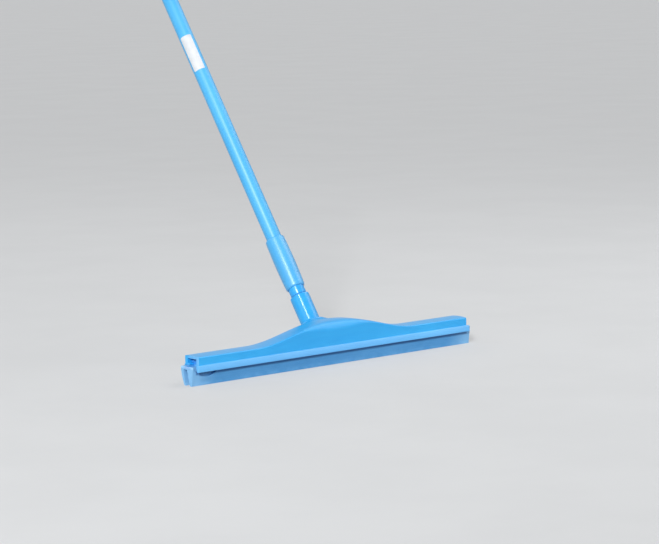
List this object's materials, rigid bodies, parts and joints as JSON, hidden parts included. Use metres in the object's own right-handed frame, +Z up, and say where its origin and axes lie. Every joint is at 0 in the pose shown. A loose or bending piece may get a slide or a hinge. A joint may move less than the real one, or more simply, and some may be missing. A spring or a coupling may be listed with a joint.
{
  "type": "floor squeegee",
  "caption": "Floor squeegee with a humped moulded frame, a slide-in soft double blade and a screw-in tube handle with a hanging eye",
  "frame": {"origin": "the middle of the front blade's wiping edge, where it stands on the floor", "axes": "+X along the blade (the thumb notch is at the -X end), +Y back towards the user, +Z up; the handle leans back towards +Y"},
  "size_m": [0.7, 0.8658, 1.1688],
  "materials": {
    "frame_plastic": "mid blue moulded polypropylene, satin gloss",
    "rail_plastic": "stiff blue plastic, matte",
    "blade_rubber": "pale blue soft rubber, matte",
    "seal_rubber": "blue soft seal, matte",
    "plug_plastic": "mid blue moulded plastic, gloss",
    "sleeve_plastic": "mid blue moulded plastic, fine matte",
    "tube_paint": "blue coated aluminium tube, satin",
    "label_film": "white film label, bare",
    "grip_plastic": "mid blue moulded plastic, fine matte"
  },
  "bodies": {
    "frame": {"squeegee_frame": "frame_plastic"},
    "cassette": {"cassette_rail": "rail_plastic", "double_blade": "blade_rubber"},
    "seal": {"neck_seal": "seal_rubber"},
    "handle": {"thread_plug": "plug_plastic", "ferrule_sleeve": "sleeve_plastic", "handle_tube": "tube_paint", "handle_label": "label_film", "hand_grip": "grip_plastic", "grip_cap": "grip_plastic"}
  },
  "joints": [
    {"name": "cassette_slide", "type": "slide", "parent": "frame", "child": "cassette", "axis": [-1, 0, 0], "range_m": [0, 0.69]},
    {"name": "handle_lift", "type": "slide", "parent": "frame", "child": "seal", "axis": [0, 0.5764, 0.8171], "range_m": [0, 0.034]},
    {"name": "handle_turn", "type": "hinge", "parent": "seal", "child": "handle", "pos_m": [0, 0.0222, 0], "axis": [0, 0.5764, 0.8171], "range_deg": [0, 1540]}
  ],
  "couplings": [
    {"joint": "handle_turn", "follows": "handle_lift", "rad_per_m": 785.4}
  ]
}
